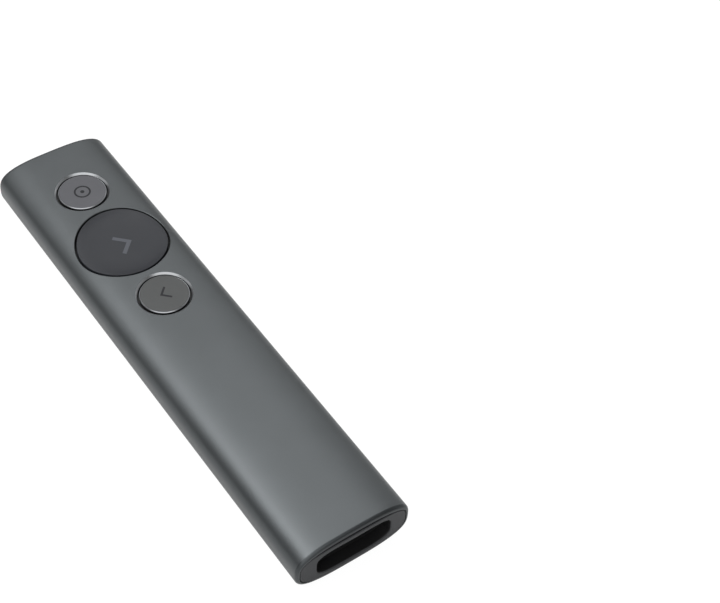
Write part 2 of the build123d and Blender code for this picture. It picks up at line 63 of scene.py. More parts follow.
back = np.array(
    [
        math.sin(azimuth) * math.cos(elevation),
        -math.cos(azimuth) * math.cos(elevation),
        math.sin(elevation),
    ]
)
level_right = np.array([math.cos(azimuth), math.sin(azimuth), 0.0])
level_up = np.cross(back, level_right)
right = math.cos(roll) * level_right + math.sin(roll) * level_up
up = -math.sin(roll) * level_right + math.cos(roll) * level_up

camera = bpy.data.objects.new("camera", bpy.data.cameras.new("camera"))
bpy.context.scene.collection.objects.link(camera)
camera.data.sensor_width = sensor
camera.data.lens = focal_in_pixels / image_width * sensor
camera.data.clip_start = 0.01
placed = np.eye(4)
placed[:3, 0], placed[:3, 1], placed[:3, 2] = right, up, back
placed[:3, 3] = target + back * distance
camera.matrix_world = Matrix(placed.tolist())
bpy.context.scene.camera = camera
print("lens in mm:", round(camera.data.lens, 2), "camera at", np.round(placed[:3, 3], 4))

# %% [markdown]
# ## Surfaces from arrays
# Each new piece is a set of patches. A patch is an array of points in rows and columns, and its
# cells become faces. Points that two patches share are found by rounding and welded into one, so
# the piece closes. Edges that are sharper than a set angle are then marked, so that smooth shading
# stops there. This is plainer than modelling by hand, and the shape stays a readable formula.

# %% Patches become a piece
WELD = 1e-4  # mm


def patch_faces(rows, columns):
    """Corners of every cell of a rows x columns patch, taken round each cell in order."""
    index = np.arange(rows * columns).reshape(rows, columns)
    return np.stack(
        [index[:-1, :-1], index[:-1, 1:], index[1:, 1:], index[1:, :-1]], axis=-1
    ).reshape(-1, 4)


def make_piece(name, patches, body, finishes, replaced=(), sharp=28.0):
    """A mesh from (points in mm, finish number) patches, riding on a body."""
    points, faces, owners, count = [], [], [], 0
    for patch, owner in patches:
        cells = patch_faces(*patch.shape[:2])
        points.append(patch.reshape(-1, 3))
        faces.append(cells + count)
        owners.append(np.full(len(cells), owner))
        count += patch.shape[0] * patch.shape[1]
    points, faces, owners = np.concatenate(points), np.concatenate(faces), np.concatenate(owners)
    _, first, merged = np.unique(
        np.round(points / WELD).astype(np.int64), axis=0, return_index=True, return_inverse=True
    )
    points, faces = points[first], merged.reshape(-1)[faces]
    beside = faces == np.roll(faces, -1, axis=1)
    whole, pinched = beside.sum(1) == 0, beside.sum(1) == 1
    thin = faces[pinched][~beside[pinched]].reshape(-1, 3)
    mesh = bpy.data.meshes.new(name)
    mesh.from_pydata((points * MM).tolist(), [], faces[whole].tolist() + thin.tolist())
    mesh.polygons.foreach_set("material_index", np.concatenate([owners[whole], owners[pinched]]))
    mesh.update()
    mesh.shade_smooth()
    mesh.set_sharp_from_angle(angle=math.radians(sharp))
    for finish in finishes:
        mesh.materials.append(finish)
    made = bpy.data.objects.new(name, mesh)
    bpy.context.scene.collection.objects.link(made)
    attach(made, body)
    if replaced:
        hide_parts(*replaced)
    print(name, "has", len(mesh.polygons), "faces,", int(beside.sum()), "pinched")


# %% [markdown]
# ## Shader maths as Python
# A finish is a small network of nodes. Written out by hand, each sum takes a node and two links,
# so one class wraps a node's output and turns + - * < > into Math nodes. `1 - mask` works as well,
# because subtraction also has its reflected form. All other nodes come from one method.

# %% Wrapped sockets and the finish builder
class Wave:
    """One output of a node, which Python's arithmetic turns into Math nodes."""

    def __init__(self, finish, output):
        self.finish, self.output = finish, output

    def maths(self, operation, other=0.0, swapped=False):
        first, second = (other, self) if swapped else (self, other)
        return self.finish.node("ShaderNodeMath", {"operation": operation}, {0: first, 1: second})

    def __add__(self, other):
        return self.maths("ADD", other)

    def __sub__(self, other):
        return self.maths("SUBTRACT", other)

    def __rsub__(self, other):
        return self.maths("SUBTRACT", other, swapped=True)

    def __mul__(self, other):
        return self.maths("MULTIPLY", other)

    def __gt__(self, other):
        return self.maths("GREATER_THAN", other)

    def __lt__(self, other):
        return self.maths("LESS_THAN", other)


class Finish:
    """A material under construction, on the piece's own coordinates in metres."""

    def __init__(self, name):
        taken = bpy.data.materials.get(name)
        if taken is not None:
            taken.name = "plain_" + name
        self.material = bpy.data.materials.new(name)
        self.material.use_nodes = True
        self.tree = self.material.node_tree
        self.tree.nodes.clear()
        self.place = self.node("ShaderNodeTexCoord", output="Object")

    def feed(self, socket, value):
        if isinstance(value, Wave):
            self.tree.links.new(value.output, socket)
        else:
            socket.default_value = value

    def node(self, kind, settings=None, inputs=None, output=0):
        """Adds a node: its settings first, then a value or a link for each named socket."""
        made = self.tree.nodes.new(kind)
        for name, value in (settings or {}).items():
            setattr(made, name, value)
        for name, value in (inputs or {}).items():
            self.feed(made.inputs[name], value)
        return Wave(self, made.outputs[output])

    def noise(self, size_mm, detail=3.0, place=None):
        """Cloudy noise from 0 to 1 whose blotches are about size_mm across."""
        return self.node(
            "ShaderNodeTexNoise",
            None,
            {"Vector": place or self.place, "Scale": 1 / (size_mm * MM), "Detail": detail},
        )

    def mix(self, share, first, second):
        """Two colours, mixed by a share from 0 to 1."""
        return self.node(
            "ShaderNodeMix", {"data_type": "RGBA"}, {0: share, 6: first, 7: second}, output=2
        )

    def axis(self, name):
        """One coordinate of the piece, in millimetres."""
        return self.node("ShaderNodeSeparateXYZ", None, {0: self.place}, output=name) * (1 / MM)

    def cells(self, size_mm):
        """Distance from the nearest of many scattered points, which are about size_mm apart."""
        return self.node(
            "ShaderNodeTexVoronoi", None, {"Vector": self.place, "Scale": 1 / (size_mm * MM)}
        )

    def stripes(self, value, pitch, width):
        """1 where a value, counted again from 0 after each pitch, is under the width."""
        return value.maths("FLOORED_MODULO", pitch) < width

    def facing_up(self):
        """1 on faces that look up or down, 0 on upright ones."""
        normal = self.node("ShaderNodeTexCoord", output="Normal")
        return self.node("ShaderNodeSeparateXYZ", None, {0: normal}, "Z").maths("ABSOLUTE") > 0.5

    def bump(self, height, depth_mm, strength=1.0, below=None):
        """A normal that is tilted by a height from 0 to 1, depth_mm deep."""
        inputs = {"Height": height, "Distance": depth_mm * MM, "Strength": strength}
        if below is not None:
            inputs["Normal"] = below
        return self.node("ShaderNodeBump", None, inputs)

    def rays(self):
        """Three masks: 1 on rays from the eye, on mirrored rays and on rays through glass."""
        return [
            self.node("ShaderNodeLightPath", output=name)
            for name in ("Is Camera Ray", "Is Glossy Ray", "Is Transmission Ray")
        ]

    def close(self, surface, kind="ShaderNodeOutputMaterial"):
        """Ends the network: joins a surface to an output node."""
        output = self.tree.nodes.new(kind)
        self.tree.links.new(surface.output, output.inputs["Surface"])

    def shade(self, **sockets):
        """Ends the network in a Principled shader and gives back the material."""
        named = {name.replace("_", " "): value for name, value in sockets.items()}
        self.close(self.node("ShaderNodeBsdfPrincipled", None, named))
        return self.material


def linear(*screen):
    """A colour given in screen values from 0 to 255, as the linear RGBA that a shader takes."""
    share = np.array(screen) / 255
    value = np.where(share <= 0.04045, share / 12.92, ((share + 0.055) / 1.055) ** 2.4)
    return (*value.tolist(), 1.0)


# %% [markdown]
# ## Finish: blasted and anodised metal
# The tube is aluminium that was blasted with fine beads and anodised a dark grey with a trace of
# green. Close to, it has a very fine sparkle, and from further away it is an even satin. A flat
# grey metal would look like plastic, so fine noise moves the roughness and the tone a little, and
# a shallow bump breaks up the highlight.

# %% Anodised metal
def blasted_metal(name, dark, light, roughness, metallic=0.85):
    """Satin metal: tone and roughness vary with a fine and a broad noise."""
    finish = Finish(name)
    grain = finish.noise(0.12, 2.0)
    cloud = finish.noise(9.0, 2.0)
    tone = grain * 0.6 + cloud * 0.4
    return finish.shade(
        Base_Color=finish.mix(tone, dark, light),
        Metallic=metallic,
        Roughness=(grain - 0.5) * 0.12 + (cloud - 0.5) * 0.04 + roughness,
        Normal=finish.bump(grain, 0.004, 0.6),
    )


anodised_metal = blasted_metal(
    "anodised_metal", linear(67, 70, 71), linear(82, 85, 87), 0.42
)

# %% [markdown]
# ## Finish: cut edges
# The tube is cut from a long profile, and a cutter rounds over its two ends after blasting. That
# skin is smoother than the blasted one, and its tone is set a shade darker as painted shade.
#
# A cutter takes a bevel off round each small hole, and a second, clear anodising leaves the cut
# paler than the skin, but not white. A true mirror there would break up into hard sparks, one for
# each lamp. The cut leaves fine marks that blur them into one soft arc, so its roughness is not
# low. The large hole's edge is only broken a little before the blasting, so it keeps the tube's
# own skin. The walls of the holes are painted a much darker tone of the same anodising, as painted
# shade, so the gaps round the buttons look black.

# %% Milled rim, cut edge and hole wall, with painted shade on the rim and the wall
def bright_cut(name):
    """Machined metal, blurred by the fine marks of the cut."""
    finish = Finish(name)
    grain = finish.noise(0.3, 2.0)
    return finish.shade(
        Base_Color=finish.mix(grain, linear(142, 144, 146), linear(156, 158, 160)),
        Metallic=1.0,
        Roughness=(grain - 0.5) * 0.06 + 0.33,
    )


# Painted shade: the rims' metal is a darker copy of the tube's, for the dark band along the rims.
painted_shade_rim = blasted_metal("painted_shade_rim", linear(54, 57, 58), linear(67, 70, 72), 0.38)
cut_edge = bright_cut("cut_edge")
# Painted shade: the hole walls are coloured near black for the shade in the gaps round the buttons.
painted_shade_hole_wall = blasted_metal("painted_shade_hole_wall", linear(20, 21, 22), linear(30, 31, 32), 0.6, 0.3)

# %% [markdown]
# ## The tube
# The tube's section is a superellipse, |x/a|^3 + |z/b|^3 = 1. It is fuller than an ellipse and
# softer than a rounded rectangle. One grid round the section can't hold three round holes, so the
# top is laid out in plan: each hole gets a rectangular block whose rows run from the circle out to
# the rectangle, and plain strips fill the rest. Every point is then lifted to the section's
# height. The flanks, the rounded rims, the end faces and the bore share the same rows of points.

# %% The section
MIDDLE = 6.05
# Each form of the section: half width, rise above the middle, drop below it, and exponent.
OUTSIDE = (14.05, MIDDLE, 6.1, 3.0)
BORE = (13.2, 4.8, 4.8, 3.4)
TUBE_END = 65.25
RIM = 0.8
FIELD = 12.2
ACROSS, AROUND = 64, 120
TURN_SAMPLES = 6001


def top_height(x, form):
    """Height of the section's upper half at x: middle + b (1 - |x/a|^n)^(1/n)."""
    half, rise, _, power = form
    return MIDDLE + rise * (1 - (np.abs(x) / half) ** power) ** (1 / power)


def section_loop(form):
    """One closed turn of the section: the top strip from -x to +x, then down round the back.

    The rest of the turn is spaced evenly along its length. An angle t gives the points
    x = a sgn(cos t)|cos t|^(2/n) and z = b sgn(sin t)|sin t|^(2/n), and the evenly spaced t are
    read from the running length.
    """
    half, rise, drop, power = form
    start = math.acos((FIELD / half) ** (power / 2))
    turn = np.linspace(start, -math.pi - start, TURN_SAMPLES)

    def at(t):
        c, s = np.cos(t), np.sin(t)
        x = half * np.sign(c) * np.abs(c) ** (2 / power)
        z = np.where(s > 0, rise, drop) * np.sign(s) * np.abs(s) ** (2 / power)
        return np.stack([x, MIDDLE + z], axis=1)

    run = np.concatenate([[0], np.cumsum(np.linalg.norm(np.diff(at(turn), axis=0), axis=1))])
    even = np.interp(np.linspace(0, run[-1], AROUND + 1), run, turn)
    flank = at(even)[1:-1]
    across = np.linspace(-FIELD, FIELD, ACROSS + 1)
    top = np.stack([across, top_height(across, form)], axis=1)
    return np.concatenate([top, flank, top[:1]])


def outward(loop, form):
    """Unit normals of the section: the gradient of |x/a|^n + |z/b|^n."""
    half, rise, drop, power = form
    x, z = loop[:, 0], loop[:, 1] - MIDDLE
    b = np.where(z > 0, rise, drop)
    slope = np.stack(
        [
            np.sign(x) * np.abs(x / half) ** (power - 1) / half,
            np.sign(z) * np.abs(z / b) ** (power - 1) / b,
        ],
        axis=1,
    )
    return slope / np.linalg.norm(slope, axis=1, keepdims=True)


outer_loop = section_loop(OUTSIDE)
bore_loop = section_loop(BORE)
print("round the section:", len(outer_loop) - 1, "points")

# %% [markdown]
# The plan layout comes next. A hole's block maps each point of its rectangle to the point of the
# circle in the same direction. The rows between them are a straight blend, packed closer near the
# hole, where the eye looks.

# %% Holes in plan
NEXT_Y, PITCH = 29.1, 19.25
# Each hole's centre along y, its radius and the bevel that is cut round it.
HOLES = {
    "back": (NEXT_Y - PITCH, 6.1, 0.42),
    "next": (NEXT_Y, 11.0, 0.12),
    "pointer": (NEXT_Y + PITCH, 6.1, 0.42),
}
BLOCKS = {"back": (2.5, 17.2), "next": (17.2, 41.0), "pointer": (41.0, 55.7)}
ROWS_ALONG = {"back": 40, "next": 60, "pointer": 40}
TAIL_ROWS, NOSE_ROWS, HOLE_ROWS, RIM_ROWS = 60, 14, 14, 9
CROWDING = 1.6


def block_rim(name):
    """The block's rectangle as points in plan, anticlockwise from its lower right corner."""
    low, high = BLOCKS[name]
    along = np.linspace(low, high, ROWS_ALONG[name] + 1)
    across = np.linspace(-FIELD, FIELD, ACROSS + 1)
    sides = [
        np.stack([np.full_like(along, FIELD), along], axis=1)[:-1],
        np.stack([across[::-1], np.full_like(across, high)], axis=1)[:-1],
        np.stack([np.full_like(along, -FIELD), along[::-1]], axis=1)[:-1],
        np.stack([across, np.full_like(across, low)], axis=1),
    ]
    return np.concatenate(sides)


def ring(name, radius):
    """The circle's points in the same directions from the hole's centre as the rectangle's."""
    centre = HOLES[name][0]
    rim = block_rim(name) - [0, centre]
    angle = np.arctan2(rim[:, 1], rim[:, 0])
    angle[-1] = angle[0]
    return np.stack([radius * np.cos(angle), centre + radius * np.sin(angle)], axis=1)


def lifted(plan, form):
    """Plan points raised onto the section's upper half."""
    return np.concatenate([plan, top_height(plan[..., 0], form)[..., None]], axis=-1)


def hole_block(name, radius, form):
    """From the hole's edge out to the block's rectangle, on the surface."""
    share = (np.linspace(0, 1, HOLE_ROWS) ** CROWDING)[:, None, None]
    plan = ring(name, radius)[None] * (1 - share) + block_rim(name)[None] * share
    return lifted(plan, form)


def strip(low, high, rows, form):
    """A plain part of the top, from low to high along the tube."""
    along = np.linspace(low, high, rows)
    across = np.linspace(-FIELD, FIELD, ACROSS + 1)
    x, y = np.meshgrid(across, along)
    return lifted(np.stack([x, y], axis=-1), form)


def flank(loop, stations):
    """The sides and underside: the loop's points past the top strip, at each station along y."""
    path = loop[ACROSS:]
    y = np.repeat(stations[:, None], len(path), axis=1)
    x, z = (np.broadcast_to(column, y.shape) for column in path.T)
    return np.stack([x, y, z], axis=-1)


# %% [markdown]
# Now the patches of the whole tube are put in order. Faces have to point outwards, so a patch is
# turned over wherever its rows and columns run the other way. The underside is milled flat, which
# is one line: no point goes below z = 0.

# %% The tube's patches
def wall(form, end, hole_radius, turned):
    """One whole skin of the tube, outer or inner, with its three holes."""
    loop = section_loop(form)
    stations = [np.linspace(-end, BLOCKS["back"][0], TAIL_ROWS)]
    stations += [np.linspace(*BLOCKS[name], ROWS_ALONG[name] + 1)[1:] for name in BLOCKS]
    stations += [np.linspace(BLOCKS["pointer"][1], end, NOSE_ROWS)[1:]]
    stations = np.concatenate(stations)
    patches = [
        strip(-end, BLOCKS["back"][0], TAIL_ROWS, form),
        strip(BLOCKS["pointer"][1], end, NOSE_ROWS, form),
        flank(loop, stations),
    ]
    patches += [hole_block(name, hole_radius(name), form) for name in HOLES]
    flips = [False, False, False, True, True, True]
    return [patch[::-1] if flip != turned else patch for patch, flip in zip(patches, flips)]


def rim_patch(side):
    """The rounded rim: the section drawn in along its own normals through a quarter turn."""
    quarter = np.linspace(0, math.pi / 2, RIM_ROWS)[:, None, None]
    inset = RIM * (1 - np.cos(quarter))
    drawn = outer_loop[None] - inset * outward(outer_loop, OUTSIDE)[None]
    y = side * (TUBE_END - RIM + RIM * np.sin(quarter)) * np.ones((1, len(outer_loop), 1))
    return np.concatenate([drawn[..., :1], y, drawn[..., 1:]], axis=-1)


def end_face(side, rim):
    """The flat lip between the rim and the bore."""
    inner = np.stack(
        [bore_loop[:, 0], np.full(len(bore_loop), side * TUBE_END), bore_loop[:, 1]], axis=1
    )
    return np.stack([rim[-1], inner])


def hole_edge(name):
    """The cut bevel and the hole's wall down to the bore, as two patches."""
    _, radius, cut = HOLES[name]
    top = lifted(ring(name, radius + cut), OUTSIDE)
    low = lifted(ring(name, radius), OUTSIDE) - [0, 0, cut]
    foot = lifted(ring(name, radius), BORE)
    return np.stack([top, low]), np.stack([low, foot])


tube_patches = [(p, 0) for p in wall(OUTSIDE, TUBE_END - RIM, lambda n: sum(HOLES[n][1:]), False)]
tube_patches += [(p, 0) for p in wall(BORE, TUBE_END, lambda n: HOLES[n][1], True)]
for side in (-1, 1):
    rim = rim_patch(side)
    face = end_face(side, rim)
    tube_patches += [(rim[::side], 3), (face[::side], 3)]
for name in HOLES:
    bevel, inside = hole_edge(name)
    # Finish 2 on the holes' inner sides is the painted shade of the gaps.
    tube_patches += [(bevel, 0 if name == "next" else 1), (inside, 2)]
tube_patches = [
    (np.concatenate([p[..., :2], np.maximum(p[..., 2:], 0)], axis=-1), k) for p, k in tube_patches
]
make_piece(
    "tube_shell",
    tube_patches,
    "housing",
    [anodised_metal, cut_edge, painted_shade_hole_wall, painted_shade_rim],
    replaced=["housing_tube"],
)

# %% [markdown]
# ## The thumb pad
# The large button is a soft pad whose top is a shallow dish. In the middle it is flat, and it
# rises with the fifth power of the radius until it meets the tube's own crown at its edge. Its
# rim is rounded a little, as moulded rubber is. A polar grid holds it: rows run from the centre
# out over the rim, down the side and back underneath to the centre.

# %% Thumb pad
PAD_RADIUS, PAD_EDGE = 10.55, 0.16
PAD_FOOT, PAD_FLOOR, PAD_POWER = 10.0, 10.985, 5.0
PAD_ROWS, PAD_EDGE_ROWS, PAD_COLUMNS = 40, 8, 160


def pad_height(x, radius):
    """The dish: floor + (crown - floor)(r/R)^5, less a quarter round within the last of the rim."""
    crown = top_height(x, OUTSIDE)
    dish = PAD_FLOOR + (crown - PAD_FLOOR) * (radius / PAD_RADIUS) ** PAD_POWER
    over = np.clip((radius - PAD_RADIUS + PAD_EDGE) / PAD_EDGE, 0, 1)
    return dish - PAD_EDGE * (1 - np.sqrt(1 - over**2))


def pad_patch():
    """Rows of rings: the dish, the rounded rim, the side wall and the underside."""
    quarter = np.sin(np.linspace(0, math.pi / 2, PAD_EDGE_ROWS))
    reach = PAD_RADIUS - PAD_EDGE
    radius = np.concatenate([np.linspace(0, reach, PAD_ROWS)[:-1], reach + PAD_EDGE * quarter])
    turn = np.linspace(0, 2 * math.pi, PAD_COLUMNS + 1)[None]
    turn = np.where(turn == turn.max(), 0, turn)
    x = radius[:, None] * np.cos(turn)
    y = NEXT_Y + radius[:, None] * np.sin(turn)
    dish = np.stack([x, y, pad_height(x, radius[:, None])], axis=-1)
    foot = dish[-1:] * [1, 1, 0] + [0, 0, PAD_FOOT]
    middle = np.broadcast_to([0, NEXT_Y, PAD_FOOT], foot.shape)
    return np.concatenate([dish, foot, middle])[::-1]


# %% [markdown]
# ## Finish: soft-touch rubber
# The pad feels like fine rubber: dark, matt and a shade bluer than the metal round it. Its grain
# is a very small noise in the bump, and a cloud of broader noise moves the roughness where thumbs
# have touched it. Rubber like this mirrors less than a hard plastic, so its specular level, which
# is the same all over, is set lower on the shader itself.

# %% Soft-touch rubber
def soft_rubber(name, dark, light):
    """Matt rubber with a fine skin and a weak highlight."""
    finish = Finish(name)
    skin, touch = finish.noise(0.18, 3.0), finish.noise(6.0, 3.0)
    return finish.shade(
        Base_Color=finish.mix(skin * 0.5 + touch * 0.5, dark, light),
        Roughness=(touch - 0.5) * 0.1 + 0.6,
        Specular_IOR_Level=0.38,
        Normal=finish.bump(skin, 0.012, 0.5),
    )


soft_skin = soft_rubber("soft_skin", linear(23, 25, 30), linear(31, 33, 38))
make_piece(
    "thumb_pad",
    [(pad_patch(), 0)],
    "next_button",
    [soft_skin],
    replaced=["next_skin"],
    sharp=40.0,
)

# %% [markdown]
# ## Finish: the small metal caps
# The two small caps are the same metal in two close anodisings, with a cut bevel round the top.
# The solid already has the right shape, so only its material changes. The bevel and the side
# below it, which is painted dark as shade in the gap round the cap, are found from the height and
# the distance to the cap's axis, which needs no marking of faces by hand.

# %% Metal caps
CAP_BEVEL_START, CAP_BEVEL_FOOT = 5.53, 11.81


def cap_metal(name, centre_y, dark, light):
    """Satin metal. Outside a radius it is bare and bright above a height, and painted dark below it
    as shade in the gap.
    """
    finish = Finish(name)
    grain, cloud = finish.noise(0.12, 2.0), finish.noise(5.0, 2.0)
    x, y, z = (finish.axis(letter) for letter in "XYZ")
    reach = finish.node(
        "ShaderNodeMath", {"operation": "SQRT"}, {0: x * x + (y - centre_y) * (y - centre_y)}
    )
    rim, high = reach > CAP_BEVEL_START, z > CAP_BEVEL_FOOT
    # Painted shade: below the bevel the cap's side is coloured near black, less metallic and
    # rougher.
    bevel, side = rim * high, rim * (1 - high)
    satin = finish.mix(grain * 0.6 + cloud * 0.4, dark, light)
    edged = finish.mix(bevel, satin, linear(150, 152, 155))
    return finish.shade(
        Base_Color=finish.mix(side, edged, linear(24, 24, 25)),
        Metallic=1 - side * 0.7,
        Roughness=(grain - 0.5) * 0.1 + 0.42 - bevel * 0.08 + side * 0.2,
        Normal=finish.bump(grain, 0.004, 0.5),
    )


def dress(finish, *names):
    """Gives solids of the frame a finish in place of the plain one they came with."""
    for name in names:
        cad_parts[name].data.materials.clear()
        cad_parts[name].data.materials.append(finish)
    print(finish.name, "on", ", ".join(names))


CAPS = {"pointer": ((77, 78, 81), (89, 89, 92)), "back": ((66, 67, 67), (77, 78, 78))}
for button, tones in CAPS.items():
    dark, light = (linear(*tone) for tone in tones)
    dress(cap_metal(button + "_cap_metal", HOLES[button][0], dark, light), button + "_cap")

# %% [markdown]
# ## Finish: moulded plastics and printed marks
# Most of what is left is moulded. Each moulding has its own colour, but they differ in the same
# few ways: the grain of the tool's steel, how shiny that left it, and faint flow clouds. One
# function with those as numbers covers them all, and a table gives each its nodes. The marks on
# the buttons are thin printed ink: nearly no highlight, or they would vanish against the metal.

# %% Moulded finishes
def moulded(name, colour, roughness, grain_mm=0.15, depth_mm=0.01, specular=0.5):
    """A moulding or a print: a tone that clouds by an eighth and a fine grain in the bump."""
    finish = Finish(name)
    grain, cloud = finish.noise(grain_mm, 3.0), finish.noise(grain_mm * 30, 2.0)
    red, green, blue, _ = linear(*colour)
    dark, light = ((red * k, green * k, blue * k, 1.0) for k in (0.88, 1.12))
    return finish.shade(
        Base_Color=finish.mix(grain * 0.5 + cloud * 0.5, dark, light),
        Roughness=(grain - 0.5) * 0.12 + roughness,
        Specular_IOR_Level=specular,
        Normal=finish.bump(grain, depth_mm, 0.5),
    )


BUTTONS = ("pointer", "next", "back")
MOULDINGS = {
    "nose_plastic": ((57, 58, 60), 0.5, ["nose_cap"]),
    "dock_plastic": ((12, 12, 13), 0.6, ["receiver_dock"]),
    "chassis_plastic": ((38, 39, 41), 0.52, ["chassis", "button_frame"]),
    "carrier_plastic": ((30, 31, 33), 0.48, [button + "_carrier" for button in BUTTONS]),
    "stem_plastic": ((196, 194, 188), 0.4, [button + "_stem" for button in BUTTONS]),
    "switch_resin": ((26, 27, 30), 0.42, [button + "_switch" for button in BUTTONS]),
    "tongue_plastic": ((22, 22, 24), 0.4, ["charge_port_tongue"]),
    "connector_plastic": ((218, 212, 194), 0.42, ["battery_connector"]),
    "chip_resin": ((20, 20, 22), 0.5, ["processor_chip", "motion_sensor"]),
    "boot_rubber": ((28, 28, 30), 0.75, ["motor_boot"]),
}
for name, (colour, roughness, nodes) in MOULDINGS.items():
    dress(moulded(name, colour, roughness), *nodes)

INK_GRAIN, INK_DEPTH, INK_SPECULAR = 0.08, 0.003, 0.12
for name, colour, nodes in (
    ("dark_mark", (36, 36, 38), ["pointer_icon", "back_chevron"]),
    ("light_mark", (74, 76, 81), ["next_chevron"]),
):
    dress(moulded(name, colour, 0.65, INK_GRAIN, INK_DEPTH, INK_SPECULAR), *nodes)

# %% [markdown]
# ## Finish: the tail plug
# The plug in the tail is moulded like the one in the nose, but its slot leads into the black dock,
# and inside the slot its walls are painted near black as shade. The solid is one piece, so the
# finish tells the two apart by place: the walls are further in than the mouth and within the
# slot's width.

# %% Tail plastic
SLOT_MOUTH, SLOT_HALF_WIDTH = -65.3, 9.2


def tail_plastic(name, face_colour, slot_shade_colour):
    """A moulding painted near black, as the slot's shade, where y is past the slot's mouth and |x|
    is within it.
    """
    finish = Finish(name)
    grain, x = finish.noise(0.15, 3.0), finish.axis("X")
    # Painted shade: the slot's inner walls are coloured near black and rougher for the shade
    # inside.
    painted_slot_shade = (finish.axis("Y") > SLOT_MOUTH) * (x * x < SLOT_HALF_WIDTH**2)
    face = finish.mix(grain, linear(*face_colour), linear(*(value + 6 for value in face_colour)))
    return finish.shade(
        Base_Color=finish.mix(painted_slot_shade, face, linear(*slot_shade_colour)),
        Roughness=(grain - 0.5) * 0.12 + 0.55 + painted_slot_shade * 0.15,
        Specular_IOR_Level=0.25,
        Normal=finish.bump(grain, 0.01, 0.5),
    )


# The second colour is the painted shade inside the slot.
dress(tail_plastic("tail_plastic", (42, 43, 45), (9, 9, 10)), "tail_cap")

# %% [markdown]
# ## Finish: sheet and drawn metals
# The springs, snap domes, shields and the motor's can are rolled or drawn, and that leaves long
# faint lines. A noise makes round blotches. If the coordinates are squeezed along one axis first,
# its blotches are drawn out along that axis into lines, so no image is needed.

# %% Rolled and plated metals
def rolled_metal(name, dark, light, roughness, squeeze=(1.0, 0.04, 1.0)):
    """Metal whose tone and roughness run in fine lines along the squeezed axis."""
    finish = Finish(name)
    run = finish.node("ShaderNodeMapping", None, {"Vector": finish.place, "Scale": squeeze})
    lines, stain = finish.noise(0.12, 2.0, run), finish.noise(4.0, 3.0)
    return finish.shade(
        Base_Color=finish.mix(lines * 0.6 + stain * 0.4, dark, light),
        Metallic=1.0,
        Roughness=(lines - 0.5) * 0.14 + (stain - 0.5) * 0.08 + roughness,
        Normal=finish.bump(lines, 0.003, 0.4),
    )


dress(
    rolled_metal("spring_steel", linear(166, 166, 164), linear(198, 198, 195), 0.28),
    "dock_springs", "pointer_dome", "next_dome", "back_dome", "motor_shaft",
)
dress(
    rolled_metal("plated_steel", linear(172, 173, 171), linear(204, 205, 202), 0.34),
    "charge_port_shell", "radio_shield", "motor_can",
    "charge_board_screws", "main_board_screws", "dock_screws",
)
dress(
    rolled_metal("gold_plate", linear(200, 160, 86), linear(226, 190, 116), 0.3, (0.04, 1.0, 1.0)),
    "antenna",
)

# %% [markdown]
# ## Finish: the motor's weight
# The eccentric weight is pressed from heavy metal powder and sintered. Close to, its skin is made
# of grains with darker pores between them. A cell pattern gives both: the distance from the
# nearest grain's middle darkens the tone, roughens it and digs the pores.

# %% Sintered metal
def sintered_metal(name, grain_colour, pore_colour):
    """Grains of pressed powder: the pores are where the cell distance is large."""
    finish = Finish(name)
    pores = finish.cells(0.14)
    return finish.shade(
        Base_Color=finish.mix(pores, grain_colour, pore_colour),
        Metallic=1.0,
        Roughness=pores * 0.3 + 0.4,
        Normal=finish.bump(1 - pores, 0.02, 0.6),
    )


dress(sintered_metal("weight_alloy", linear(150, 147, 142), linear(92, 90, 87)), "eccentric_weight")

# %% [markdown]
# ## Finish: circuit boards
# A board is woven glass and resin with copper lines on it, under a green mask. The lines show as
# paler green. They could be drawn one by one, but nobody follows them on a small board, so two
# sets of stripes do: a broad noise picks patches where they run along it and patches where they
# run across. The cut edges have no mask, and show the tan of the glass.

# %% Circuit boards
def masked_board(name, bare, covered, glass):
    """Green mask over copper stripes on the faces, bare woven glass on the edges."""
    finish = Finish(name)
    x, y = finish.axis("X"), finish.axis("Y")
    patch, weave = finish.noise(5.0, 0.0), finish.noise(0.1, 2.0)
    along = finish.stripes(x, 0.5, 0.2) * (patch > 0.52)
    across = finish.stripes(y, 0.5, 0.2) * (patch < 0.46)
    copper = along + across
    mask = finish.mix(copper * 0.8 + weave * 0.2, bare, covered)
    face = finish.facing_up()
    return finish.shade(
        Base_Color=finish.mix(face, glass, mask),
        Roughness=0.62 - face * 0.3 + (weave - 0.5) * 0.1,
        Normal=finish.bump(copper * face + weave * 0.3, 0.02, 0.6),
    )


dress(
    masked_board("circuit_board", linear(16, 58, 38), linear(34, 92, 58), linear(176, 164, 118)),
    "charge_board", "main_board",
)

# %% [markdown]
# ## Finish: flexible strip and leads
# The strip between the boards is amber film, with copper lines inside it that run from end to end.
# The battery's and the motor's leads are pairs of soft sleeves, one red and one black, so each
# pair's finish needs only the x where it changes from one to the other.

# %% Film and sleeves
def amber_film(name, film, copper):
    """Clear amber film over copper lines that run along y."""
    finish = Finish(name)
    lines, cloud = finish.stripes(finish.axis("X"), 0.6, 0.34), finish.noise(2.0, 2.0)
    return finish.shade(
        Base_Color=finish.mix(lines * 0.8 + cloud * 0.2, film, copper),
        Roughness=(cloud - 0.5) * 0.12 + 0.3,
        Normal=finish.bump(lines, 0.015, 0.5),
    )


def lead_sleeves(name, middle_x):
    """Soft sleeves: red where x is past the middle, black before it."""
    finish = Finish(name)
    red_side, dust = finish.axis("X") > middle_x, finish.noise(0.4, 3.0)
    black = finish.mix(dust, linear(24, 24, 25), linear(34, 34, 35))
    red = finish.mix(dust, linear(150, 24, 22), linear(172, 34, 30))
    return finish.shade(
        Base_Color=finish.mix(red_side, black, red),
        Roughness=(dust - 0.5) * 0.1 + 0.45,
        Normal=finish.bump(dust, 0.01, 0.4),
    )


